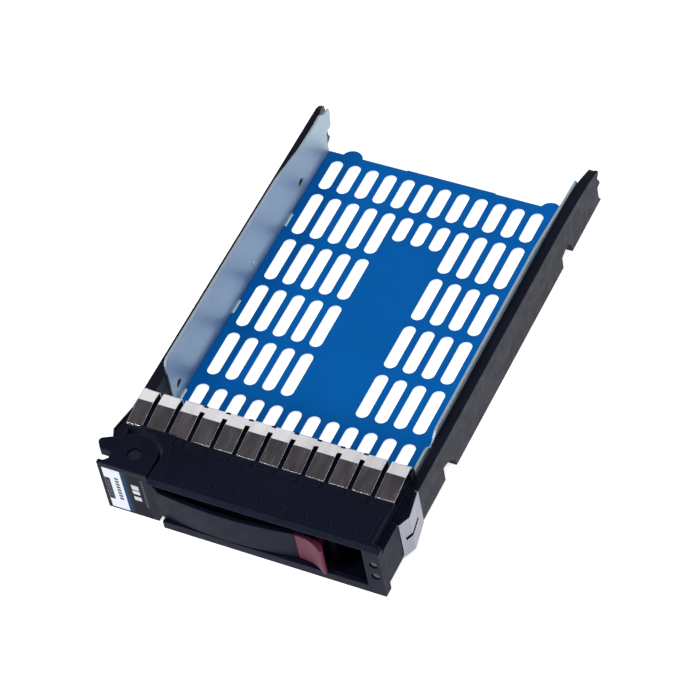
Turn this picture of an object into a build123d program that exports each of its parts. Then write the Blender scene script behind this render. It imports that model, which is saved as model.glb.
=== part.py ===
from build123d import *
import math
import os

os.makedirs("parts", exist_ok=True)

# Sliding carrier for a 3.5-inch hard drive, in millimetres.
# Working axes: X to the right seen from the front, Y towards the rear, Z up.
# X = 0 is the middle of the drive bay, Y = 0 the front drive-screw hole and
# Z = 0 the floor that the drive rests on. The frame of the part is the same,
# shifted so that its origin is the bottom centre of the bounding box.

# ---------------------------------------------------------------- drive bay
BAY_HALF = 51.0
STEEL_T = 0.8
HOLE_PITCH = 101.6
HOLE_Z = 6.35
HOLE_R = 1.8
NUB_Y = HOLE_PITCH - 41.28
BOTTOM_Z = -2.0
TOP_Z = 24.0

# ---------------------------------------------------------------- floor
FLOOR_T = 0.8
FLOOR_FRONT = -17.5
FLOOR_REAR = 124.5
SLOT_W = 5.1
SLOT_PITCH = 7.53
SLOT_MID_X = -3.9
SLOT_COLUMNS = 12
FOOT_NOTCHES = [(-4.0, 3.2), (40.3, 47.3), (84.8, 91.8)]

# ---------------------------------------------------------------- rails
RAIL_IN = BAY_HALF + STEEL_T
RAIL_OUT = 55.8
LEFT_RAIL_OUT = 56.3
RAIL_TOP = 17.2
RAIL_FRONT = -22.2
RAIL_REAR = 137.0
LEFT_RAIL_REAR = 133.5
SIDE_TOP = 19.0
SIDE_BOTTOM = 0.5
SIDE_FRONT = -50.6

# ---------------------------------------------------------------- front
FACE_Y = -54.5
FACE_RIGHT = 56.3
WINDOW_LEFT = -31.0
WINDOW_RIGHT = 50.0
WINDOW_TOP = 22.4
LIP_TOP = 1.7
COVER_LEFT = -33.0
COVER_RIGHT = 52.9
COVER_REAR = -33.0
COVER_T = 1.6
LED_X = 53.6
LED_HIGH = 15.2
LED_LOW = 8.6
LED_R = 1.3
LED_RECESS_R = 1.7

# ---------------------------------------------------------------- fingers
GAP_FIRST = -45.5
GAP_PITCH = 8.95
GAP_W = 1.8
GAP_COUNT = 11
STRIP_LEFT = -52.5
STRIP_RIGHT = 52.2
SHEET_T = 0.3

# ---------------------------------------------------------------- lever
PIVOT = (-42.4, -45.0)
PIN_R = 2.0
HUB_R = 8.5
POCKET_R = 9.9
HUB_UNDER = 20.4
LABEL_FRONT = -52.6
ARM_LOW = 2.8
ARM_HIGH = 16.2
ARM_END = 22.4
ARM_T = 1.6
ARM_RIB_HIGH = 11.6
ARM_BOW = 2.2

# ---------------------------------------------------------------- latch
LATCH_PIVOT = (25.2, -50.2)
LATCH_PIN_R = 0.8
LATCH_FRONT = -56.2
RUN = 0.05

SHIFT = (0.0, -(LATCH_FRONT + RAIL_REAR) / 2, -BOTTOM_Z)


# ---------------------------------------------------------------- helpers
def block(x0, x1, y0, y1, z0, z1):
    box = Box(x1 - x0, y1 - y0, z1 - z0)
    return Pos((x0 + x1) / 2, (y0 + y1) / 2, (z0 + z1) / 2) * box


def plan(outline, z0, z1):
    """Upright prism over an outline in X and Y."""
    return extrude(Pos(0, 0, z0) * Polygon(*outline, align=None), z1 - z0, dir=(0, 0, 1))


def side(outline, x0, x1):
    """Prism along X over an outline in Y and Z."""
    return extrude(Plane.YZ.offset(x0) * Polygon(*outline, align=None), x1 - x0, dir=(1, 0, 0))


def front(outline, y0, y1):
    """Prism along Y over an outline in X and Z."""
    return extrude(Plane.XZ.offset(-y0) * Polygon(*outline, align=None), y1 - y0, dir=(0, 1, 0))


def rod_z(x, y, z0, z1, r):
    return Pos(x, y, (z0 + z1) / 2) * Cylinder(r, z1 - z0)


def rod_x(x0, x1, y, z, r):
    return Pos((x0 + x1) / 2, y, z) * Rot(0, 90, 0) * Cylinder(r, x1 - x0)


def rod_y(x, y0, y1, z, r):
    return Pos(x, (y0 + y1) / 2, z) * Rot(90, 0, 0) * Cylinder(r, y1 - y0)


def polar(radius, degrees):
    a = math.radians(degrees)
    return (PIVOT[0] + radius * math.cos(a), PIVOT[1] + radius * math.sin(a))


def sector(radius, start, end, z0, z1, steps=12):
    """Pie slice about the lever pivot, between two angles in degrees."""
    rim = [polar(radius, start + (end - start) * i / steps) for i in range(steps + 1)]
    return plan([PIVOT] + rim, z0, z1)


def coil(x, y, z0, turns, radius, wire_r):
    """Close-wound coil, as rings that run into each other."""
    pitch = wire_r * 1.7
    rings = [Pos(x, y, z0 + wire_r + i * pitch) * Torus(radius, wire_r) for i in range(turns)]
    body = rings[0]
    for ring in rings[1:]:
        body = body + ring
    return body


parts = {}

# ================================================================ slotted floor
floor_half = BAY_HALF - 0.1
sheet = Polygon(
    (-floor_half, FLOOR_FRONT),
    (floor_half, FLOOR_FRONT),
    (floor_half, FLOOR_REAR),
    (18.5, FLOOR_REAR),
    (18.1, FLOOR_REAR + 0.4),
    (-18.1, FLOOR_REAR + 0.4),
    (-18.5, FLOOR_REAR),
    (-floor_half, FLOOR_REAR),
    align=None,
)
for lobe_x in (-41.0, 41.0):
    sheet = sheet + Pos(lobe_x, FLOOR_REAR - 1.4) * Circle(4.3)

# Rows of slots: middle in Y, length, and the columns that have one.
outer = [i for i in range(SLOT_COLUMNS) if i not in (5, 6, 7)]
every = list(range(SLOT_COLUMNS))
rows = [
    (113.7, 15.2, every),
    (93.2, 21.2, outer),
    (97.6, 12.4, [5, 6, 7]),
    (69.7, 20.9, outer),
    (46.1, 20.9, outer),
    (22.2, 20.9, outer),
    (-3.1, 21.0, every),
]
slots = []
for mid_y, length, columns in rows:
    for i in columns:
        x = SLOT_MID_X + (i - (SLOT_COLUMNS - 1) / 2) * SLOT_PITCH
        slots.append(Pos(x, mid_y) * Rot(0, 0, 90) * SlotOverall(length, SLOT_W))
sheet = sheet - slots
notch_cuts = []
for y0, y1 in FOOT_NOTCHES:
    for sign in (-1, 1):
        middle = Pos(sign * (BAY_HALF - 0.4), (y0 + y1) / 2)
        notch_cuts.append(middle * Rectangle(0.9, y1 - y0))
sheet = sheet - notch_cuts
parts["slotted_floor"] = extrude(Pos(0, 0, -FLOOR_T) * sheet, FLOOR_T, dir=(0, 0, 1))

# ================================================================ steel side walls
FLANGE_Z = -FLOOR_T - STEEL_T
left_outline = [
    (-5.4, FLANGE_Z),
    (-4.8, 21.4),
    (-4.1, 23.2),
    (-2.4, TOP_Z),
    (87.0, TOP_Z),
    (97.0, 22.3),
    (105.0, 20.9),
    (118.0, 20.6),
    (122.6, 21.0),
    (124.0, 20.5),
    (125.4, 18.8),
    (129.6, 18.2),
    (130.0, 16.9),
    (128.9, 10.1),
    (127.1, 9.2),
    (124.6, 6.9),
    (124.3, 5.0),
    (124.3, FLANGE_Z),
]
right_outline = [
    (-16.6, FLANGE_Z),
    (-16.6, 19.0),
    (-6.4, 19.0),
    (-4.6, 18.4),
    (-2.8, 16.6),
    (-0.9, 16.2),
    (0.3, 17.8),
    (2.3, 19.3),
    (4.2, 20.0),
    (90.0, 20.0),
    (104.0, 18.6),
    (116.0, 17.6),
    (126.8, 17.0),
    (128.4, 12.5),
    (128.4, 10.0),
    (124.3, 9.4),
    (124.3, FLANGE_Z),
]


def side_wall(outline, sign, flange_front):
    """Upright steel wall with screw holes, locating nub and narrow foot flange."""
    x0 = min(sign * BAY_HALF, sign * RAIL_IN)
    wall = side(outline, x0, x0 + STEEL_T)
    foot_x = sorted((sign * (BAY_HALF - 2.8), sign * RAIL_IN))
    wall = wall + block(foot_x[0], foot_x[1], flange_front, 124.3, FLANGE_Z, -FLOOR_T)
    for y in (0.0, HOLE_PITCH):
        wall = wall - rod_x(x0 - 1, x0 + STEEL_T + 1, y, HOLE_Z, HOLE_R)
    wall = wall - rod_x(x0 - 1, x0 + STEEL_T + 1, 126.2, 8.2, 1.5)
    for y0, y1 in FOOT_NOTCHES:
        cut_x = sorted((sign * (BAY_HALF + 0.05), sign * (BAY_HALF - 0.85)))
        wall = wall - block(cut_x[0], cut_x[1], y0, y1, -3.0, 0.0)
    nub_x = sorted((sign * (BAY_HALF + 0.3), sign * (BAY_HALF - 0.4)))
    return wall + rod_x(nub_x[0], nub_x[1], NUB_Y, HOLE_Z - 0.4, 1.0)


parts["left_side_wall"] = side_wall(left_outline, -1, -5.3)
parts["right_side_wall"] = side_wall(right_outline, 1, -16.6)

# ================================================================ side rails
# Front foot cut-out and falling rear top of each rail, in Y and Z. The tops' Y counts
# back from the rear end.
LEFT_FOOT = [(-3.5, SIDE_BOTTOM), (-3.5, 3.4), (1.8, 3.2), (4.4, 1.8), (5.3, 0.0)]
RIGHT_FOOT = [(-3.5, SIDE_BOTTOM), (-3.5, 7.0), (-1.5, 6.6), (1.8, 5.4), (4.4, 3.0), (5.3, 0.0)]
LEFT_TOP = [(-0.2, 12.4), (-0.5, 14.9), (-2.2, 16.4), (-4.5, RAIL_TOP)]
RIGHT_TOP = [(-0.2, 12.4), (-0.6, 13.6), (-7.0, 15.0), (-18.0, 16.4), (-37.0, RAIL_TOP)]


def rail_outline(front_foot, rear, rear_top):
    """Side view of a rail: two foot cut-outs below and a stepped rear end."""
    rear_foot = [(101.1, BOTTOM_Z), (101.1, 3.4), (104.6, 4.6), (107.6, 4.0), (109.2, 1.8),
                 (109.5, BOTTOM_Z)]
    end = [(-0.8, BOTTOM_Z), (-0.9, -1.4), (-2.1, 0.6), (-2.3, 5.9), (0.0, 6.3), (-0.1, 7.3),
           (-1.6, 10.4)]
    close = [(RAIL_FRONT, RAIL_TOP), (RAIL_FRONT, SIDE_BOTTOM)]
    shifted = [(rear + y, z) for y, z in end + rear_top]
    return front_foot + [(5.3, BOTTOM_Z)] + rear_foot + shifted + close


PIPE_HALF = 1.0
PIPE_GAP = 0.08
PIPE_REAR = 134.3
# The light pipes step down here, below the falling top of the rail.
STEP_START = 88.0
STEP_END = 98.0
STEP_DROP = 2.6


def pipe_run(z, x0, x1, y0, y1, half):
    """Square bar along Y that steps down between STEP_START and STEP_END."""
    low = z - STEP_DROP
    top = [(y1, low + half), (STEP_END, low + half), (STEP_START, z + half), (y0, z + half)]
    bottom = [(y0, z - half), (STEP_START, z - half), (STEP_END, low - half), (y1, low - half)]
    return side(bottom + top, x0, x1)


def pipe_channel(z, y0, y1):
    """Straight channel for a light pipe, open towards the middle of the carrier."""
    half = PIPE_HALF + PIPE_GAP
    return block(RAIL_IN - 0.2, LED_X + half, y0, y1, z - half, z + half)


def rail(sign, outline, outer, rear, taper_start, taper_in):
    """Moulded runner outside the steel wall, tapered on the inside at its rear end."""
    x0 = min(sign * RAIL_IN, sign * outer)
    body = side(outline, x0, x0 + outer - RAIL_IN)
    for y in (0.0, HOLE_PITCH):
        ends = sorted((sign * (RAIL_IN - 0.2), sign * (RAIL_IN + 0.7)))
        body = body - rod_x(ends[0], ends[1], y, HOLE_Z, HOLE_R + 0.3)
    taper = [(sign * RAIL_IN, taper_start), (sign * taper_in, rear + 0.5),
             (sign * BAY_HALF, rear + 0.5), (sign * BAY_HALF, taper_start)]
    return body - plan(taper, BOTTOM_Z - 1, RAIL_TOP + 1)


left_profile = rail_outline(LEFT_FOOT, LEFT_RAIL_REAR, LEFT_TOP)
parts["left_rail"] = rail(-1, left_profile, LEFT_RAIL_OUT, LEFT_RAIL_REAR, 118.0, 55.3)
right_profile = rail_outline(RIGHT_FOOT, RAIL_REAR, RIGHT_TOP)
right_rail = rail(1, right_profile, RAIL_OUT, RAIL_REAR, 128.0, 52.6)
for z in (LED_HIGH, LED_LOW):
    half = PIPE_HALF + PIPE_GAP
    right_rail = right_rail - pipe_run(
        z, RAIL_IN - 0.2, LED_X + half, RAIL_FRONT - 1, RAIL_REAR + 1, half
    )
# The rail's inner top edge is cut back beside the ear at the front of the wall.
EAR_CUT = [(RAIL_IN - 0.1, 15.6), (RAIL_IN, 15.6), (RAIL_IN + 0.8, RAIL_TOP),
           (RAIL_IN + 0.8, RAIL_TOP + 1), (RAIL_IN - 0.1, RAIL_TOP + 1)]
parts["right_rail"] = right_rail - front(EAR_CUT, -16.6, -2.4)

# ================================================================ light pipes
for name, z in (("light_pipe_upper", LED_HIGH), ("light_pipe_lower", LED_LOW)):
    pipe = pipe_run(z, LED_X - PIPE_HALF, LED_X + PIPE_HALF, -51.4, PIPE_REAR, PIPE_HALF)
    parts[name] = pipe + rod_y(LED_X, FACE_Y + 0.5, -51.4, z, LED_R - PIPE_GAP)

# ================================================================ side contact clips
CLIP_FRONT = -38.2
CLIP_RIDGE = -33.6
CLIP_REAR = -22.5
CLIP_OUT = 58.1
CLIP_LOW = 0.0
CLIP_HIGH = 17.8


def side_clip(sign):
    """Springy contact sheet bent to a ridge, slit across and tucked in at both ends."""
    outline = [
        (54.9, CLIP_FRONT),
        (56.05, CLIP_FRONT),
        (CLIP_OUT, CLIP_RIDGE),
        (56.05, CLIP_REAR),
        (54.9, CLIP_REAR),
        (54.9, CLIP_REAR - SHEET_T),
        (55.85, CLIP_REAR - SHEET_T),
        (CLIP_OUT - SHEET_T, CLIP_RIDGE),
        (55.8, CLIP_FRONT + SHEET_T),
        (54.9, CLIP_FRONT + SHEET_T),
    ]
    sheet_body = plan([(sign * x, y) for x, y in outline], CLIP_LOW, CLIP_HIGH)
    slit_x = sorted((sign * 55.0, sign * 59.0))
    return sheet_body - block(slit_x[0], slit_x[1], -36.6, -26.4, 7.5, 9.4)


parts["left_side_clip"] = side_clip(-1)
parts["right_side_clip"] = side_clip(1)

# ================================================================ finger strip
gaps = [GAP_FIRST + GAP_PITCH * k for k in range(GAP_COUNT)]
BACK_Y = -17.3
FOLD_Y = -22.6
TIP_Y = -32.2
TIP_Z = 22.2
SPINE_TOP = 18.8
SPINE_LOW = 15.6
strip_section = [
    (BACK_Y, SPINE_LOW),
    (BACK_Y, TOP_Z - 0.5),
    (BACK_Y - 0.5, TOP_Z),
    (FOLD_Y, TOP_Z),
    (TIP_Y, TIP_Z),
    (TIP_Y - 0.35, TIP_Z - 0.55),
    (TIP_Y - 0.1, TIP_Z - 0.7),
    (TIP_Y + 0.15, TIP_Z - 0.25),
    (FOLD_Y - 0.02, TOP_Z - SHEET_T),
    (BACK_Y - 0.6, TOP_Z - SHEET_T),
    (BACK_Y - SHEET_T, TOP_Z - 0.6),
    (BACK_Y - SHEET_T, SPINE_LOW),
]
strip = side(strip_section, STRIP_LEFT, STRIP_RIGHT)
for k, x in enumerate(gaps):
    half = GAP_W / 2
    if k in (0, 1, GAP_COUNT - 1):
        strip = strip - block(x - half, x + half, -35, -10, SPINE_TOP, 26)
    else:
        strip = strip - block(x - half, x + half, -35, -20.5, SPINE_TOP, 26)
        strip = strip - block(x - half, x + half, -18.3, -10, SPINE_TOP, 26)
# The spine runs between the side walls, while the fingers reach over them.
strip = strip - block(-60, -50.8, -18, -10, 10, 22.5) - block(50.8, 60, -18, -10, 10, 22.5)
parts["finger_strip"] = strip

# ================================================================ front chassis
INNER_WALL = -36.6
chassis = block(-BAY_HALF, BAY_HALF, BACK_Y - 2.3, BACK_Y - SHEET_T, BOTTOM_Z, 19.0)
chassis = chassis + block(WINDOW_LEFT + 0.4, BAY_HALF, -52.6, -50.0, BOTTOM_Z, -0.6)
chassis = chassis + block(COVER_LEFT, BAY_HALF, -50.4, -19.0, BOTTOM_Z, -0.6)
chassis = chassis + block(-BAY_HALF, COVER_LEFT + 1, -33.4, -19.0, BOTTOM_Z, -0.6)
deck = [
    (-33.4, 20.2),
    (-33.4, 21.5),
    (-26.0, 21.1),
    (-21.5, 20.0),
    (-19.6, 19.0),
    (-19.6, 17.4),
    (-21.5, 18.4),
    (-26.0, 19.6),
]
chassis = chassis + side(deck, -RAIL_IN, RAIL_IN)
chassis = chassis + block(-BAY_HALF, RAIL_IN, INNER_WALL + 3.2, INNER_WALL + 4.6, BOTTOM_Z, 20.4)
# Teeth that stand in the notches along the back edge of the finger strip.
for x in gaps[2:-1]:
    half = GAP_W / 2 - 0.1
    chassis = chassis + block(x - half, x + half, BACK_Y - 0.9, BACK_Y - 0.1, 18.9, TOP_Z - 0.1)
# Corner posts beside the ends of the strip.
for sign in (-1, 1):
    post_x = sorted((sign * 50.9, sign * 52.6))
    chassis = chassis + block(post_x[0], post_x[1], -19.6, -16.7, RAIL_TOP + 0.1, TOP_Z - 1.6)
wall_right = block(RAIL_IN, RAIL_OUT, SIDE_FRONT, RAIL_FRONT, SIDE_BOTTOM, SIDE_TOP)
wall_left = block(-RAIL_OUT, -RAIL_IN, CLIP_FRONT - 0.7, RAIL_FRONT, SIDE_BOTTOM, SIDE_TOP)
for sign, wall in ((1, wall_right), (-1, wall_left)):
    pocket = sorted((sign * 53.0, sign * 60.0))
    wall = wall - block(pocket[0], pocket[1], CLIP_FRONT - 0.1, -22.0, 17.0, 30.0)
    slot = sorted((sign * 54.7, sign * 60.0))
    wall = wall - block(slot[0], slot[1], CLIP_FRONT - 0.4, CLIP_FRONT + 0.6, -5.0, 30.0)
    wall = wall - block(slot[0], slot[1], CLIP_REAR - 0.5, -22.0, -5.0, 30.0)
    hump = [
        (sign * 55.6, CLIP_FRONT + 0.9),
        (sign * 57.0, CLIP_RIDGE),
        (sign * 55.6, CLIP_REAR - 0.9),
    ]
    wall = wall + plan(hump, SIDE_BOTTOM, 17.0)
    chassis = chassis + wall
chassis = chassis + block(RAIL_IN - 1.0, RAIL_IN, SIDE_FRONT, -19.0, BOTTOM_Z, 17.0)
chassis = chassis + block(-RAIL_IN, -RAIL_IN + 1.0, -33.4, -19.0, BOTTOM_Z, 17.0)
for z in (LED_HIGH, LED_LOW):
    chassis = chassis - pipe_channel(z, SIDE_FRONT - 1, RAIL_FRONT + 1)
# Boss that holds the lever's hinge pin, on an arm of the bottom plate.
boss_arm = plan([(-46.0, -33.0), (-46.0, -45.0), (-42.4, -50.2), (-32.6, -50.2), (-32.6, -33.0)],
                BOTTOM_Z, -0.6)
chassis = chassis + boss_arm + rod_z(PIVOT[0], PIVOT[1], BOTTOM_Z, 1.2, 5.4)
chassis = chassis - rod_z(PIVOT[0], PIVOT[1], BOTTOM_Z - 1, 3.0, PIN_R)
chassis = chassis - rod_z(PIVOT[0], PIVOT[1], BOTTOM_Z - 1, BOTTOM_Z + 1.0, 3.4)
# Catch post that the latch hook stands behind.
chassis = chassis + block(31.7, 34.2, -47.0, -43.4, -0.7, 12.0)
# The claw and the corner of the hub sweep this part of the deck when the lever swings.
chassis = chassis - sector(15.6, 128, 192, 19.4, 30) - sector(11.4, 96, 180, 19.4, 30)
parts["front_chassis"] = chassis

# ================================================================ front bezel
cover = block(COVER_LEFT, COVER_RIGHT, FACE_Y, COVER_REAR, TOP_Z - COVER_T, TOP_Z)
cover = cover + block(-46.0, COVER_LEFT + 1, PIVOT[1], COVER_REAR, TOP_Z - COVER_T, TOP_Z)
panel_outline = [(-28.0, -51.0), (50.9, -51.0), (50.9, -36.9), (-31.4, -36.9), (-30.9, -39.5),
                 (-30.2, -42.0), (-29.2, -45.0), (-28.0, -47.5)]
panel = plan(panel_outline, TOP_Z - 0.5, TOP_Z + 1)
ledge = block(-31.6, COVER_RIGHT + 1, -37.0, COVER_REAR + 1, TOP_Z - 1.1, TOP_Z + 1)
cover = cover - panel - ledge
edges_x = [STRIP_LEFT] + gaps + [STRIP_RIGHT]
for k in range(2, GAP_COUNT + 1):
    x0 = max(edges_x[k] + GAP_W / 2, -31.2)
    x1 = min(edges_x[k + 1] - GAP_W / 2, 51.4)
    pad = block(x0, x1, -36.3, -34.2, TOP_Z - 1.3, TOP_Z - 0.3)
    cover = cover + fillet(pad.edges().filter_by(Axis.Z), 0.5)
# Row of small wedge-shaped scoops near the front of the panel, shallow at the front,
# each with a round pit at its deep end.
SCOOP_FLOOR = [(-47.4, TOP_Z - 1.0), (-50.4, TOP_Z - 0.5), (-50.4, TOP_Z + 1), (-47.4, TOP_Z + 1)]
for x in gaps[3:]:
    mark = [(x - 0.5, -47.6), (x + 0.5, -47.6), (x + 1.4, -50.3), (x - 1.4, -50.3)]
    cover = cover - (plan(mark, TOP_Z - 1.0, TOP_Z + 1) & side(SCOOP_FLOOR, x - 2, x + 2))
    cover = cover - rod_z(x, -47.8, TOP_Z - 1.2, TOP_Z + 1, 0.55)
# Right-hand column, bottom lip, and the bevelled upper edge of the face.
column = block(WINDOW_RIGHT, FACE_RIGHT, FACE_Y, SIDE_FRONT, BOTTOM_Z, TOP_Z)
lip = block(WINDOW_LEFT + 0.4, WINDOW_RIGHT, FACE_Y, -52.6, BOTTOM_Z, LIP_TOP)
skirt = block(RAIL_IN, COVER_RIGHT, SIDE_FRONT - 0.5, COVER_REAR, SIDE_TOP, TOP_Z - COVER_T)
bezel = cover + column + lip + skirt
bezel = bezel - block(COVER_LEFT - 1, RAIL_IN, -52.6, -20, BOTTOM_Z - 1, -0.6)
bezel = bezel - block(RAIL_IN - 1.0, RAIL_IN, SIDE_FRONT, -18, BOTTOM_Z - 1, 17.0)
bevel = [(FACE_Y - 1, TOP_Z + 1), (FACE_Y + 1.6, TOP_Z + 1), (FACE_Y + 1.6, TOP_Z),
         (FACE_Y, WINDOW_TOP + 0.2), (FACE_Y - 1, WINDOW_TOP + 0.2)]
bezel = bezel - side(bevel, -60, 60)
# The upper right corner of the face is rounded.
corner = [(54.3, TOP_Z + 1), (54.3, TOP_Z), (55.4, TOP_Z - 0.5), (FACE_RIGHT, TOP_Z - 1.9),
          (FACE_RIGHT + 1, TOP_Z - 1.9), (FACE_RIGHT + 1, TOP_Z + 1)]
bezel = bezel - front(corner, FACE_Y - 1, -50)
for z in (LED_HIGH, LED_LOW):
    bezel = bezel - rod_y(LED_X, FACE_Y - 1, SIDE_FRONT + 1, z, LED_R)
    bezel = bezel - rod_y(LED_X, FACE_Y - 1, FACE_Y + 1.2, z, LED_RECESS_R)
    bezel = bezel - block(LED_X - 1.1, LED_X + 1.1, -51.5, SIDE_FRONT + 1, z - 1.1, z + 1.1)
# Side step of the column down to the height of the chassis wall.
bezel = bezel - block(COVER_RIGHT, 60, -51.6, 0, SIDE_TOP, 30)
# Round pocket for the lever hub, with a wall around it.
ring = rod_z(PIVOT[0], PIVOT[1], 12.0, TOP_Z, POCKET_R + 1.4)
ring = ring & block(COVER_LEFT - 8, COVER_LEFT + 3, -49.0, -36.0, 0, 30)
bezel = bezel + ring
bezel = bezel - rod_z(PIVOT[0], PIVOT[1], -5, 30, POCKET_R)
bezel = bezel - block(-60, -32.8, -60, PIVOT[1], -5, 30)
bezel = bezel - sector(11.4, 96, 180, -5, 30)
parts["front_bezel"] = bezel

# ================================================================ ejector lever
hub = rod_z(PIVOT[0], PIVOT[1], HUB_UNDER, TOP_Z, HUB_R)
hub_back = [
    (-50.3, -49.6),
    (-52.0, -51.3),
    (-53.7, -51.5),
    (-53.7, LABEL_FRONT),
    (-34.2, LABEL_FRONT),
    (-33.9, -50.0),
    (-33.9, PIVOT[1]),
    (PIVOT[0], -36.6),
    (-46.4, -37.1),
    (-49.0, -38.4),
    (-50.3, -39.6),
]
claw = [
    (-50.0, -39.9),
    (-53.6, -40.9),
    (-56.6, -42.4),
    (-57.2, -43.2),
    (-57.1, -44.4),
    (-55.2, -46.9),
    (-50.0, -46.9),
]
hub = hub & block(-60, -30, LABEL_FRONT, -30, 0, 30)
lever = hub + plan(hub_back, HUB_UNDER, TOP_Z) + plan(claw, HUB_UNDER, TOP_Z)
lever = lever + rod_z(PIVOT[0], PIVOT[1], 7.0, HUB_UNDER + 0.1, 4.6)
# Full-height front plate of the label block, with two ribs back to the barrel.
lever = lever + block(-53.7, -34.0, LABEL_FRONT, -51.1, BOTTOM_Z + 0.1, TOP_Z)
lever = lever + block(-46.4, -44.8, -51.2, PIVOT[1] - 2.4, 7.0, HUB_UNDER + 0.1)
lever = lever + block(-40.0, -38.4, -51.2, PIVOT[1] - 2.4, 7.0, HUB_UNDER + 0.1)
lever = lever + front(
    [(-34.1, BOTTOM_Z + 0.1), (-33.6, BOTTOM_Z + 0.1), (-31.0, ARM_LOW), (-31.0, ARM_HIGH + 1.0),
     (-33.4, 19.6), (-34.1, TOP_Z)],
    LABEL_FRONT,
    -51.1,
)
# Arm across the window: a plate bowed gently forwards, with a rib at top and bottom.
arm_front = []
arm_back = []
ARM_STEPS = 12
arm_left = -32.4
for i in range(ARM_STEPS + 1):
    t = i / ARM_STEPS
    x = arm_left + (ARM_END - arm_left) * t
    y = LABEL_FRONT - ARM_BOW * math.sin(math.pi * t) ** 0.9
    arm_front.append((x, y))
    arm_back.append((x, y + ARM_T))
lever = lever + plan(arm_front + arm_back[::-1], ARM_LOW, ARM_HIGH)
for z0 in (ARM_LOW, ARM_RIB_HIGH):
    rib = [(arm_left - 1.0, -51.3), (ARM_END, -51.3), (ARM_END, -48.8), (-26.0, -48.8),
           (arm_left - 1.0, -50.0)]
    rib_shape = plan(rib, z0, z0 + 1.4) - plan(
        [(x, y + 0.1) for x, y in arm_front] + [(ARM_END, -60), (arm_left, -60)], 0, 30
    )
    lever = lever + rib_shape
# Ears at the end of the arm, either side of the latch boss.
EAR_T = 1.4
for z0 in (ARM_LOW, ARM_HIGH - EAR_T):
    ear = block(ARM_END - 1.0, LATCH_PIVOT[0], -51.3, -48.8, z0, z0 + EAR_T)
    ear = ear + rod_z(LATCH_PIVOT[0], LATCH_PIVOT[1], z0, z0 + EAR_T, 1.3)
    lever = lever + ear
lever = lever - rod_z(LATCH_PIVOT[0], LATCH_PIVOT[1], 0, 20, LATCH_PIN_R)
# Bore for the hinge pin and the round recess around its head.
lever = lever - rod_z(PIVOT[0], PIVOT[1], 0, 30, PIN_R + RUN)
lever = lever - rod_z(PIVOT[0], PIVOT[1], TOP_Z - 1.5, 30, 2.7)
# Shallow seat for the label.
LABEL_T = 0.2
LABEL_BOX = (-52.2, -35.6, -1.1, 21.7)
lever = lever - block(LABEL_BOX[0], LABEL_BOX[1], -60, LABEL_FRONT + LABEL_T,
                      LABEL_BOX[2], LABEL_BOX[3])
parts["ejector_lever"] = lever
parts["lever_label"] = block(LABEL_BOX[0] + 0.05, LABEL_BOX[1] - 0.05, LABEL_FRONT,
                             LABEL_FRONT + LABEL_T, LABEL_BOX[2] + 0.05, LABEL_BOX[3] - 0.05)

# Hinge pin with a head at the top and a retaining ring below the bottom plate.
pin = rod_z(PIVOT[0], PIVOT[1], BOTTOM_Z + 0.1, TOP_Z - 0.9, PIN_R)
pin = pin + rod_z(PIVOT[0], PIVOT[1], TOP_Z - 1.45, TOP_Z - 0.7, 2.3)
groove = rod_z(PIVOT[0], PIVOT[1], BOTTOM_Z + 0.35, BOTTOM_Z + 0.9, 3.0)
groove = groove - rod_z(PIVOT[0], PIVOT[1], BOTTOM_Z - 1, 5, 1.5)
parts["lever_pin"] = pin - groove
clip = rod_z(PIVOT[0], PIVOT[1], BOTTOM_Z + 0.4, BOTTOM_Z + 0.85, 3.1)
clip = clip - rod_z(PIVOT[0], PIVOT[1], BOTTOM_Z - 1, 5, 1.52)
clip = clip - block(PIVOT[0] - 0.9, PIVOT[0] + 0.9, PIVOT[1], PIVOT[1] + 4, BOTTOM_Z - 1, 5)
parts["lever_pin_ring"] = clip

# Opening spring around the pin, between the boss and the barrel of the lever.
spring = coil(PIVOT[0], PIVOT[1], 1.3, 8, 3.0, 0.35)
parts["lever_spring"] = spring + rod_y(PIVOT[0] + 3.0, PIVOT[1], PIVOT[1] + 3.4, 1.65, 0.34)

# ================================================================ latch
grip_front = [
    (22.7, -52.75),
    (25.0, -52.85),
    (27.6, -53.2),
    (29.8, -53.8),
    (31.6, -54.6),
    (33.0, -55.5),
    (33.9, LATCH_FRONT),
]
grip = grip_front + [
    (34.8, -55.8),
    (34.7, -54.9),
    (33.8, -53.6),
    (32.4, -52.6),
    (30.6, -52.0),
    (27.6, -51.9),
    (22.7, -51.9),
]
latch = plan(grip, ARM_LOW, ARM_HIGH)
GRIP_BOSS = (4.5, 11.2)
boss = rod_z(LATCH_PIVOT[0], LATCH_PIVOT[1], GRIP_BOSS[0], GRIP_BOSS[1], 1.7)
boss = boss + block(24.2, 27.4, -52.1, -50.2, GRIP_BOSS[0], GRIP_BOSS[1])
stem = plan([(27.2, -52.0), (29.6, -52.2), (29.2, -42.4), (27.6, -42.4)], 5.0, 11.0)
link = block(25.2, 28.0, -51.2, -49.2, GRIP_BOSS[0], GRIP_BOSS[1])
hook = plan([(27.7, -43.1), (31.2, -43.1), (29.4, -41.2), (27.7, -41.2)], 5.0, 11.0)
latch = latch + boss + link + stem + hook
latch = latch - rod_z(LATCH_PIVOT[0], LATCH_PIVOT[1], 0, 20, LATCH_PIN_R + RUN)
parts["latch_button"] = latch
parts["latch_pin"] = rod_z(
    LATCH_PIVOT[0], LATCH_PIVOT[1], ARM_LOW + 0.1, ARM_HIGH - 0.1, LATCH_PIN_R
)
latch_coil = coil(LATCH_PIVOT[0], LATCH_PIVOT[1], 11.5, 5, 1.15, 0.25)
parts["latch_spring"] = latch_coil

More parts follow.
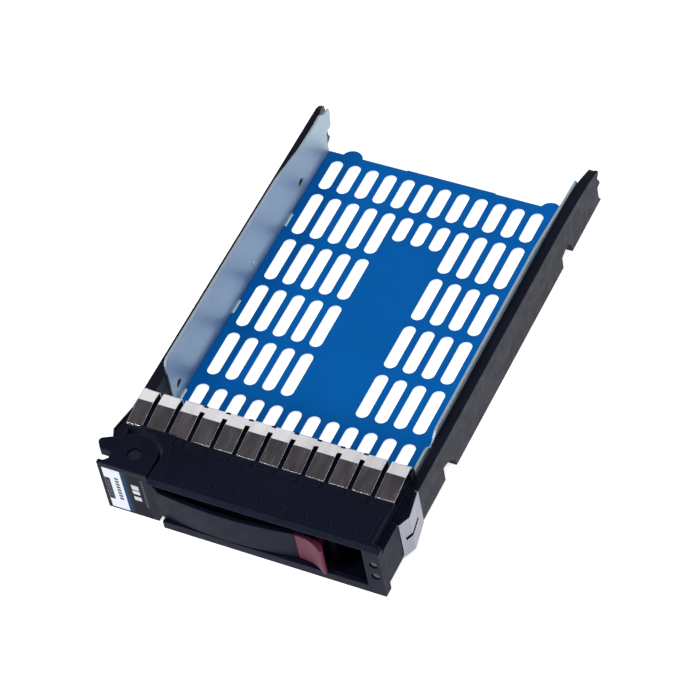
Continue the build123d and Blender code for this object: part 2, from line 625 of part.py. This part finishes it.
# ================================================================ write the pieces
for name, shape in parts.items():
    shape = Pos(*SHIFT) * shape
    solids = shape.solids()
    if len(solids) != 1:
        print("NOTE", name, "has", len(solids), "solids")
    export_step(Compound(solids) if len(solids) > 1 else solids[0], f"parts/{name}.step")
whole = Compound([s for shape in parts.values() for s in (Pos(*SHIFT) * shape).solids()])
box = whole.bounding_box()
print("size", box.size, "min", box.min, "max", box.max)
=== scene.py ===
import math

import bpy
from mathutils import Matrix, Vector


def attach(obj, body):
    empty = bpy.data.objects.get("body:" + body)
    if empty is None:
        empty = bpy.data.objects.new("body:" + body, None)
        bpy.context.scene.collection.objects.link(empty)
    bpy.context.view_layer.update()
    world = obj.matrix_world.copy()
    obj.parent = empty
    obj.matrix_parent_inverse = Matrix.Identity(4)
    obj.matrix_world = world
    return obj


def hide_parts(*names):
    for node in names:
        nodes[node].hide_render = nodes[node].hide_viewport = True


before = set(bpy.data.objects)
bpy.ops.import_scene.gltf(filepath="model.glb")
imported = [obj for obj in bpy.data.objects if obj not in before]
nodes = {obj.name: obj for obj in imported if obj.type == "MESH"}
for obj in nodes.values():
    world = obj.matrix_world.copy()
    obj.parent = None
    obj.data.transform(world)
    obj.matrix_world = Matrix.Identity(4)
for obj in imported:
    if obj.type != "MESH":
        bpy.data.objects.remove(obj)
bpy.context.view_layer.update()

MM = 0.001
# Places are given in the drawing's frame, in millimetres: X = 0 is the middle of the drive bay,
# Y = 0 the front screw hole and Z = 0 the top of the floor. The part's frame is that frame
# moved by this much.
SHIFT = (0.0, -40.4, 2.0)


def at(x, y, z):
    """Point of the part's frame, in metres, at a place of the drawing's frame."""
    return Vector(((x + SHIFT[0]) * MM, (y + SHIFT[1]) * MM, (z + SHIFT[2]) * MM))


# ---------------------------------------------------------------- camera
# Direction of view, place and lens match the photograph.
AZIMUTH, ELEVATION, ROLL = (math.radians(a) for a in (34.84, 50.09, -12.21))
CAMERA_PLACE = (457.4, -624.7, 964.6)
LENS_MM = 178.6
SENSOR_MM = 36.0
LENS_SHIFT = (0.0086, 0.0014)
FAR_CLIP = 30.0
forward = Vector((-math.sin(AZIMUTH) * math.cos(ELEVATION),
                  math.cos(AZIMUTH) * math.cos(ELEVATION), -math.sin(ELEVATION)))
level = Vector((math.cos(AZIMUTH), math.sin(AZIMUTH), 0.0))
upright = level.cross(forward)
right = level * math.cos(ROLL) + upright * math.sin(ROLL)
up = upright * math.cos(ROLL) - level * math.sin(ROLL)
camera_data = bpy.data.cameras.new("camera")
camera_data.lens = LENS_MM
camera_data.sensor_width = SENSOR_MM
camera_data.shift_x, camera_data.shift_y = LENS_SHIFT
camera_data.clip_end = FAR_CLIP
camera = bpy.data.objects.new("camera", camera_data)
bpy.context.scene.collection.objects.link(camera)
turn = Matrix((right, up, -forward)).transposed().to_4x4()
camera.matrix_world = Matrix.Translation(at(*CAMERA_PLACE)) @ turn
bpy.context.scene.camera = camera


# ---------------------------------------------------------------- lights and floor
def softbox(name, place, width, height, watts):
    """Rectangular lamp that points at the origin."""
    data = bpy.data.lights.new(name, "AREA")
    data.shape = "RECTANGLE"
    data.size = width
    data.size_y = height
    data.energy = watts
    lamp = bpy.data.objects.new(name, data)
    bpy.context.scene.collection.objects.link(lamp)
    lamp.location = place
    lamp.rotation_euler = (-Vector(place)).to_track_quat("-Z", "Y").to_euler()


softbox("back_box", (-0.53, 0.98, 1.25), width=2.4, height=0.5, watts=3.7)
softbox("key_box", (0.5, -0.35, 1.5), width=0.5, height=0.5, watts=9.5)
softbox("front_box", (-0.6, -1.15, 1.0), width=0.45, height=0.45, watts=9.0)

# The surroundings are bright at the horizon and dark overhead: height and colour.
SKY_STOPS = (
    (0.02, (0.85, 0.87, 0.92, 1)),
    (0.3, (0.13, 0.14, 0.17, 1)),
    (0.78, (0.13, 0.14, 0.17, 1)),
    (0.9, (0.06, 0.052, 0.058, 1)),
)
world = bpy.data.worlds.new("studio")
bpy.context.scene.world = world
world.use_nodes = True
sky = world.node_tree
sky_coords = sky.nodes.new("ShaderNodeTexCoord")
sky_axes = sky.nodes.new("ShaderNodeSeparateXYZ")
sky_ramp = sky.nodes.new("ShaderNodeValToRGB")
sky.links.new(sky_coords.outputs["Generated"], sky_axes.inputs["Vector"])
sky.links.new(sky_axes.outputs["Z"], sky_ramp.inputs["Fac"])
sky.links.new(sky_ramp.outputs["Color"], sky.nodes["Background"].inputs["Color"])
stops = sky_ramp.color_ramp.elements
for index, (height, colour) in enumerate(SKY_STOPS):
    # A new ramp already has two stops.
    stop = stops[index] if index < 2 else stops.new(height)
    stop.position = height
    stop.color = colour
bpy.context.scene.view_settings.view_transform = "Standard"


# ---------------------------------------------------------------- materials
# Dot product of a face's own normal and the rounded one: on a sharp edge, and away from it.
EDGE_DOT = 0.86
FLAT_DOT = 0.995


class Nodes:
    """Small builder for a node material."""

    def __init__(self, name):
        self.material = bpy.data.materials.new(name)
        self.material.use_nodes = True
        self.tree = self.material.node_tree
        self.shader = self.tree.nodes["Principled BSDF"]
        self.coords = self.add("ShaderNodeTexCoord").outputs["Object"]

    def add(self, kind, **values):
        """New node with its plain settings."""
        node = self.tree.nodes.new(kind)
        for key, value in values.items():
            setattr(node, key, value)
        return node

    def link(self, a, b):
        self.tree.links.new(a, b)

    def put(self, socket, value):
        """Set a socket to a constant, or link it to an output."""
        if isinstance(value, (int, float, tuple)):
            socket.default_value = value
        else:
            self.link(value, socket)

    def stretch(self, scale):
        """Object coordinates scaled along each axis."""
        node = self.add("ShaderNodeMapping")
        node.inputs["Scale"].default_value = scale
        self.link(self.coords, node.inputs["Vector"])
        return node.outputs["Vector"]

    def noise(self, scale, detail=4.0, rough=0.55, stretch=(1, 1, 1)):
        node = self.add("ShaderNodeTexNoise")
        node.inputs["Scale"].default_value = scale
        node.inputs["Detail"].default_value = detail
        node.inputs["Roughness"].default_value = rough
        self.link(self.stretch(stretch), node.inputs["Vector"])
        return node.outputs["Fac"]

    def span(self, value, low, high, start=0.3, end=0.7):
        """Map start to end of a value onto low to high, clamped."""
        node = self.add("ShaderNodeMapRange")
        node.inputs["From Min"].default_value = start
        node.inputs["From Max"].default_value = end
        node.inputs["To Min"].default_value = low
        node.inputs["To Max"].default_value = high
        self.put(node.inputs["Value"], value)
        return node.outputs["Result"]

    def math(self, operation, a, b=0.0, clamp=False):
        node = self.add("ShaderNodeMath", operation=operation, use_clamp=clamp)
        self.put(node.inputs[0], a)
        self.put(node.inputs[1], b)
        return node.outputs[0]

    def mix(self, fac, a, b):
        node = self.add("ShaderNodeMix", data_type="RGBA")
        self.put(node.inputs["Factor"], fac)
        self.put(node.inputs["A"], a)
        self.put(node.inputs["B"], b)
        return node.outputs["Result"]

    def axis(self, index):
        """One object coordinate."""
        node = self.add("ShaderNodeSeparateXYZ")
        self.link(self.coords, node.inputs["Vector"])
        return node.outputs[index]

    def edges(self, radius, amount=1.0):
        """Up to amount within about the radius of a sharp edge, and 0 on flat faces."""
        rounded = self.add("ShaderNodeBevel", samples=8)
        rounded.inputs["Radius"].default_value = radius
        true = self.add("ShaderNodeNewGeometry")
        dot = self.add("ShaderNodeVectorMath", operation="DOT_PRODUCT")
        self.link(rounded.outputs["Normal"], dot.inputs[0])
        self.link(true.outputs["Normal"], dot.inputs[1])
        return self.span(dot.outputs["Value"], amount, 0.0, EDGE_DOT, FLAT_DOT)

    def finish(self, colour, rough, bump=None, strength=0.2, distance=0.0001, edge=0.0):
        """Connect colour, roughness, bump and softly rounded edges, and give the material."""
        self.put(self.shader.inputs["Base Color"], colour)
        self.put(self.shader.inputs["Roughness"], rough)
        normal = None
        if edge:
            bevel = self.add("ShaderNodeBevel", samples=6)
            bevel.inputs["Radius"].default_value = edge
            normal = bevel.outputs["Normal"]
        if bump is not None:
            node = self.add("ShaderNodeBump")
            node.inputs["Strength"].default_value = strength
            node.inputs["Distance"].default_value = distance
            self.link(bump, node.inputs["Height"])
            if normal is not None:
                self.link(normal, node.inputs["Normal"])
            normal = node.outputs["Normal"]
        if normal is not None:
            self.link(normal, self.shader.inputs["Normal"])
        return self.material


# Lighter tone along the edges of the black mouldings: a painted highlight.
PAINTED_EDGE_HIGHLIGHT = (0.021, 0.025, 0.04, 1)


def black_plastic(name, dark, light, rough, gloss):
    """Finely grained moulding, with a painted highlight that lightens it along its edges."""
    m = Nodes(name)
    patches = m.span(m.noise(45.0, detail=5.0), 0.0, 1.0)
    colour = m.mix(patches, dark, light)
    # Painted highlight: edges are lightened towards this tone.
    colour = m.mix(m.edges(radius=0.0007, amount=0.8), colour, PAINTED_EDGE_HIGHLIGHT)
    grain = m.noise(5200.0, detail=3.0, rough=0.6)
    roughness = m.span(m.noise(260.0, detail=4.0), rough - 0.05, rough + 0.07)
    m.shader.inputs["Specular IOR Level"].default_value = gloss
    m.shader.inputs["Specular Tint"].default_value = (0.6, 0.72, 1.0, 1)
    return m.finish(colour, roughness, grain, strength=0.25, distance=0.00006, edge=0.00045)


# Near-white tone along the edges of sheet metal: a painted highlight.
PAINTED_EDGE_GLINT = (0.93, 0.93, 0.95, 1)


def sheet_metal(name, dark, light, rough, along, edge=0.00015, metallic=1.0, highlight_amount=0.9):
    """Metal with faint lines along one axis, a painted highlight that brightens its edges, and
    rougher edges.
    """
    m = Nodes(name)
    lines = m.noise(420.0, detail=6.0, rough=0.7, stretch=along)
    clouds = m.noise(60.0, detail=4.0)
    blend = m.math("ADD", m.span(lines, 0.0, 0.5), m.span(clouds, 0.0, 0.5), clamp=True)
    # Painted highlight along sharp edges, which also makes them rougher.
    painted_highlight_mask = m.edges(radius=edge * 2.0, amount=highlight_amount)
    colour = m.mix(painted_highlight_mask, m.mix(blend, dark, light), PAINTED_EDGE_GLINT)
    face_rough = m.span(lines, rough - 0.06, rough + 0.08)
    roughness = m.math("ADD", face_rough, m.math("MULTIPLY", painted_highlight_mask, 0.3))
    m.shader.inputs["Metallic"].default_value = metallic
    return m.finish(colour, roughness, lines, strength=0.12, distance=0.00004, edge=edge)


def blue_sheet():
    """Matt blue floor, with painted shade that darkens the rims of its slots."""
    m = Nodes("blue_sheet")
    clouds = m.span(m.noise(38.0, detail=5.0), 0.0, 1.0)
    colour = m.mix(clouds, (0.0, 0.128, 0.47, 1), (0.0, 0.146, 0.53, 1))
    # Painted shade: the rims of the slots are darkened.
    colour = m.mix(m.edges(radius=0.0004, amount=0.85), colour, (0.0, 0.035, 0.1, 1))
    m.shader.inputs["Specular IOR Level"].default_value = 0.05
    roughness = m.span(m.noise(300.0), 0.4, 0.5)
    grain = m.noise(2600.0, detail=3.0)
    return m.finish(colour, roughness, grain, strength=0.15, distance=0.00005, edge=0.00015)


def maroon():
    """Satin maroon moulding."""
    m = Nodes("maroon_latch")
    clouds = m.span(m.noise(160.0, detail=4.0), 0.0, 1.0)
    colour = m.mix(clouds, (0.105, 0.016, 0.04, 1), (0.13, 0.022, 0.052, 1))
    m.shader.inputs["Specular IOR Level"].default_value = 0.16
    m.shader.inputs["Specular Tint"].default_value = (1.0, 0.8, 0.9, 1)
    roughness = m.span(m.noise(700.0), 0.36, 0.46)
    grain = m.noise(3600.0)
    return m.finish(colour, roughness, grain, strength=0.15, distance=0.00005, edge=0.00035)


def light_guide():
    """Smooth dark plastic of the light pipes."""
    m = Nodes("light_guide")
    clouds = m.span(m.noise(200.0), 0.0, 1.0)
    colour = m.mix(clouds, (0.02, 0.022, 0.03, 1), (0.034, 0.036, 0.045, 1))
    m.shader.inputs["Specular IOR Level"].default_value = 0.25
    m.shader.inputs["Coat Weight"].default_value = 0.1
    roughness = m.span(m.noise(900.0), 0.12, 0.2)
    return m.finish(colour, roughness, m.noise(1500.0), strength=0.05, distance=0.00003)


# Print of the label, as areas X0, X1, Z0, Z1 in millimetres of the drawing's frame.
LABEL_PANEL = (-52.1, -49.9, 3.8, 16.2)
LABEL_BLOCKS = ((-41.5, -38.6, 7.2, 9.4), (-41.5, -38.6, 10.8, 12.8), (-41.5, -38.6, 13.4, 15.9))
# Columns of short bars: area, pitch in millimetres, share of the pitch that is filled, colour.
PANEL_TICKS = ((-51.5, -50.5, 4.8, 15.2), 1.9, 0.6, (0.1, 0.1, 0.13, 1))
WHITE_TICKS = ((-48.0, -46.4, 4.0, 17.2), 1.65, 0.66, (0.05, 0.055, 0.08, 1))
DARK_TICKS = ((-37.2, -36.2, 4.2, 20.2), 1.3, 0.6, (0.1, 0.1, 0.12, 1))
# The white field ends at a sharp edge, and the blue beyond it fades into the dark field.
WHITE_END = (-45.2, -45.0)
BLUE_FADE = (-44.5, -42.5)


def label():
    """White field with a dark panel and marks, a blue shade and a dark field with pale blocks."""
    m = Nodes("label_print")
    x = m.axis(0)
    z = m.axis(2)
    soft = 0.00005

    def inside(value, low, high):
        a = m.span(value, 0.0, 1.0, low - soft, low + soft)
        b = m.span(value, 1.0, 0.0, high - soft, high + soft)
        return m.math("MULTIPLY", a, b)

    def area(x0, x1, z0, z1):
        lift = SHIFT[2]
        return m.math("MULTIPLY", inside(x, x0 * MM, x1 * MM),
                      inside(z, (z0 + lift) * MM, (z1 + lift) * MM))

    def ticks(box, pitch, share, shade, under):
        phase = m.math("FRACT", m.math("DIVIDE", z, pitch * MM))
        bars = m.span(phase, 1.0, 0.0, share - 0.05, share + 0.05)
        return m.mix(m.math("MULTIPLY", bars, area(*box)), under, shade)

    white = (0.76, 0.78, 0.86, 1)
    dark = (0.006, 0.007, 0.012, 1)
    blue = (0.006, 0.05, 0.13, 1)
    field = m.mix(m.span(x, 0.0, 1.0, BLUE_FADE[0] * MM, BLUE_FADE[1] * MM), blue, dark)
    colour = m.mix(m.span(x, 0.0, 1.0, WHITE_END[0] * MM, WHITE_END[1] * MM), white, field)
    colour = m.mix(area(*LABEL_PANEL), colour, (0.03, 0.032, 0.045, 1))
    colour = ticks(*PANEL_TICKS, colour)
    colour = ticks(*WHITE_TICKS, colour)
    for block in LABEL_BLOCKS:
        colour = m.mix(area(*block), colour, (0.62, 0.63, 0.68, 1))
    colour = ticks(*DARK_TICKS, colour)
    tint = m.span(m.noise(300.0), 0.0, 0.008)
    colour = m.mix(tint, colour, (0.5, 0.5, 0.5, 1))
    m.shader.inputs["Specular IOR Level"].default_value = 0.04
    roughness = m.span(m.noise(500.0), 0.34, 0.44)
    return m.finish(colour, roughness, m.noise(2000.0), strength=0.05, distance=0.00002)


def floor_material():
    """White studio floor that glows a little."""
    m = Nodes("floor")
    clouds = m.span(m.noise(3.0), 0.0, 1.0)
    colour = m.mix(clouds, (0.8, 0.8, 0.8, 1), (0.82, 0.82, 0.82, 1))
    m.shader.inputs["Emission Color"].default_value = (1, 1, 1, 1)
    m.shader.inputs["Emission Strength"].default_value = 0.75
    return m.finish(colour, 0.9)


# The floor reaches this far each way, in metres, and lies this far below the part.
FLOOR_SPAN = 8.0
FLOOR_DROP = 0.0002
floor_corners = [(-FLOOR_SPAN, -FLOOR_SPAN, 0), (FLOOR_SPAN, -FLOOR_SPAN, 0),
                 (FLOOR_SPAN, FLOOR_SPAN, 0), (-FLOOR_SPAN, FLOOR_SPAN, 0)]
floor_mesh = bpy.data.meshes.new("floor")
floor_mesh.from_pydata(floor_corners, [], [(0, 1, 2, 3)])
floor = bpy.data.objects.new("studio_floor", floor_mesh)
floor.location.z = -FLOOR_DROP
floor.data.materials.append(floor_material())
bpy.context.scene.collection.objects.link(floor)

MOULDED = black_plastic("moulded_black", (0.005, 0.006, 0.016, 1), (0.0075, 0.009, 0.0215, 1),
                        rough=0.44, gloss=0.075)
RUNNER = black_plastic("runner_black", (0.0035, 0.004, 0.01, 1), (0.0055, 0.0062, 0.014, 1),
                       rough=0.46, gloss=0.17)
STEEL_WALL = sheet_metal("zinc_plate", (0.4, 0.53, 0.61, 1), (0.5, 0.62, 0.69, 1),
                         rough=0.48, along=(1, 0.3, 1), metallic=0.7)
CONTACT = sheet_metal("contact_sheet", (0.66, 0.64, 0.64, 1), (0.8, 0.79, 0.8, 1),
                      rough=0.17, along=(1, 0.06, 1))
CLIP = sheet_metal("clip_sheet", (0.27, 0.28, 0.34, 1), (0.36, 0.37, 0.44, 1),
                   rough=0.36, along=(1, 1, 0.1))
PIN = sheet_metal("pin_steel", (0.022, 0.026, 0.045, 1), (0.036, 0.042, 0.065, 1),
                  rough=0.42, along=(1, 1, 0.2), highlight_amount=0.05)
WIRE = sheet_metal("spring_wire", (0.32, 0.32, 0.35, 1), (0.5, 0.5, 0.53, 1),
                   rough=0.28, along=(1, 1, 1))
GUIDE = light_guide()

finishes = {
    "front_bezel": (MOULDED, "black_plastic"),
    "front_chassis": (MOULDED, "black_plastic"),
    "left_rail": (RUNNER, "black_plastic"),
    "right_rail": (RUNNER, "black_plastic"),
    "ejector_lever": (MOULDED, "black_plastic"),
    "left_side_wall": (STEEL_WALL, "zinc_steel"),
    "right_side_wall": (STEEL_WALL, "zinc_steel"),
    "slotted_floor": (blue_sheet(), "blue_plastic"),
    "finger_strip": (CONTACT, "contact_steel"),
    "left_side_clip": (CLIP, "contact_steel"),
    "right_side_clip": (CLIP, "contact_steel"),
    "light_pipe_upper": (GUIDE, "light_guide"),
    "light_pipe_lower": (GUIDE, "light_guide"),
    "lever_pin": (PIN, "pin_steel"),
    "lever_pin_ring": (PIN, "pin_steel"),
    "latch_pin": (PIN, "pin_steel"),
    "lever_spring": (WIRE, "spring_steel"),
    "latch_spring": (WIRE, "spring_steel"),
    "lever_label": (label(), "label_print"),
    "latch_button": (maroon(), "maroon_plastic"),
}
for name, (material, slot_name) in finishes.items():
    node = nodes[name]
    node.data.materials.clear()
    node.data.materials.append(material)


# ---------------------------------------------------------------- springs
def wound_spring(name, body, node, centre, coil_r, wire_r, z_low, z_high, turns, tail):
    """Helical wire with closed end turns and a straight tail along +Y at the bottom."""
    per_turn = 20
    # Points in each closed end, where the wire does not rise.
    closed = 0.6 * per_turn
    points = [at(centre[0] + coil_r, centre[1] + tail, z_low),
              at(centre[0] + coil_r, centre[1], z_low)]
    count = int(turns * per_turn)
    for i in range(1, count + 1):
        turn_angle = -2 * math.pi * i / per_turn
        rise = min(max((i - closed) / (count - 2 * closed), 0.0), 1.0)
        points.append(at(centre[0] + coil_r * math.cos(turn_angle),
                         centre[1] + coil_r * math.sin(turn_angle),
                         z_low + (z_high - z_low) * rise))
    data = bpy.data.curves.new(name, "CURVE")
    data.dimensions = "3D"
    data.bevel_depth = wire_r * MM
    data.bevel_resolution = 4
    data.use_fill_caps = True
    spline = data.splines.new("POLY")
    spline.points.add(len(points) - 1)
    for point, place in zip(spline.points, points):
        point.co = (*place, 1.0)
    data.materials.append(WIRE)
    piece = bpy.data.objects.new(name, data)
    bpy.context.scene.collection.objects.link(piece)
    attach(piece, body)
    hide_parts(node)


wound_spring("lever_opening_spring", "carrier", "lever_spring", centre=(-42.4, -45.0),
             coil_r=3.0, wire_r=0.34, z_low=1.66, z_high=5.8, turns=6, tail=3.4)
wound_spring("latch_return_spring", "lever", "latch_spring", centre=(25.2, -50.2),
             coil_r=1.15, wire_r=0.24, z_low=11.76, z_high=13.44, turns=4, tail=0.0)
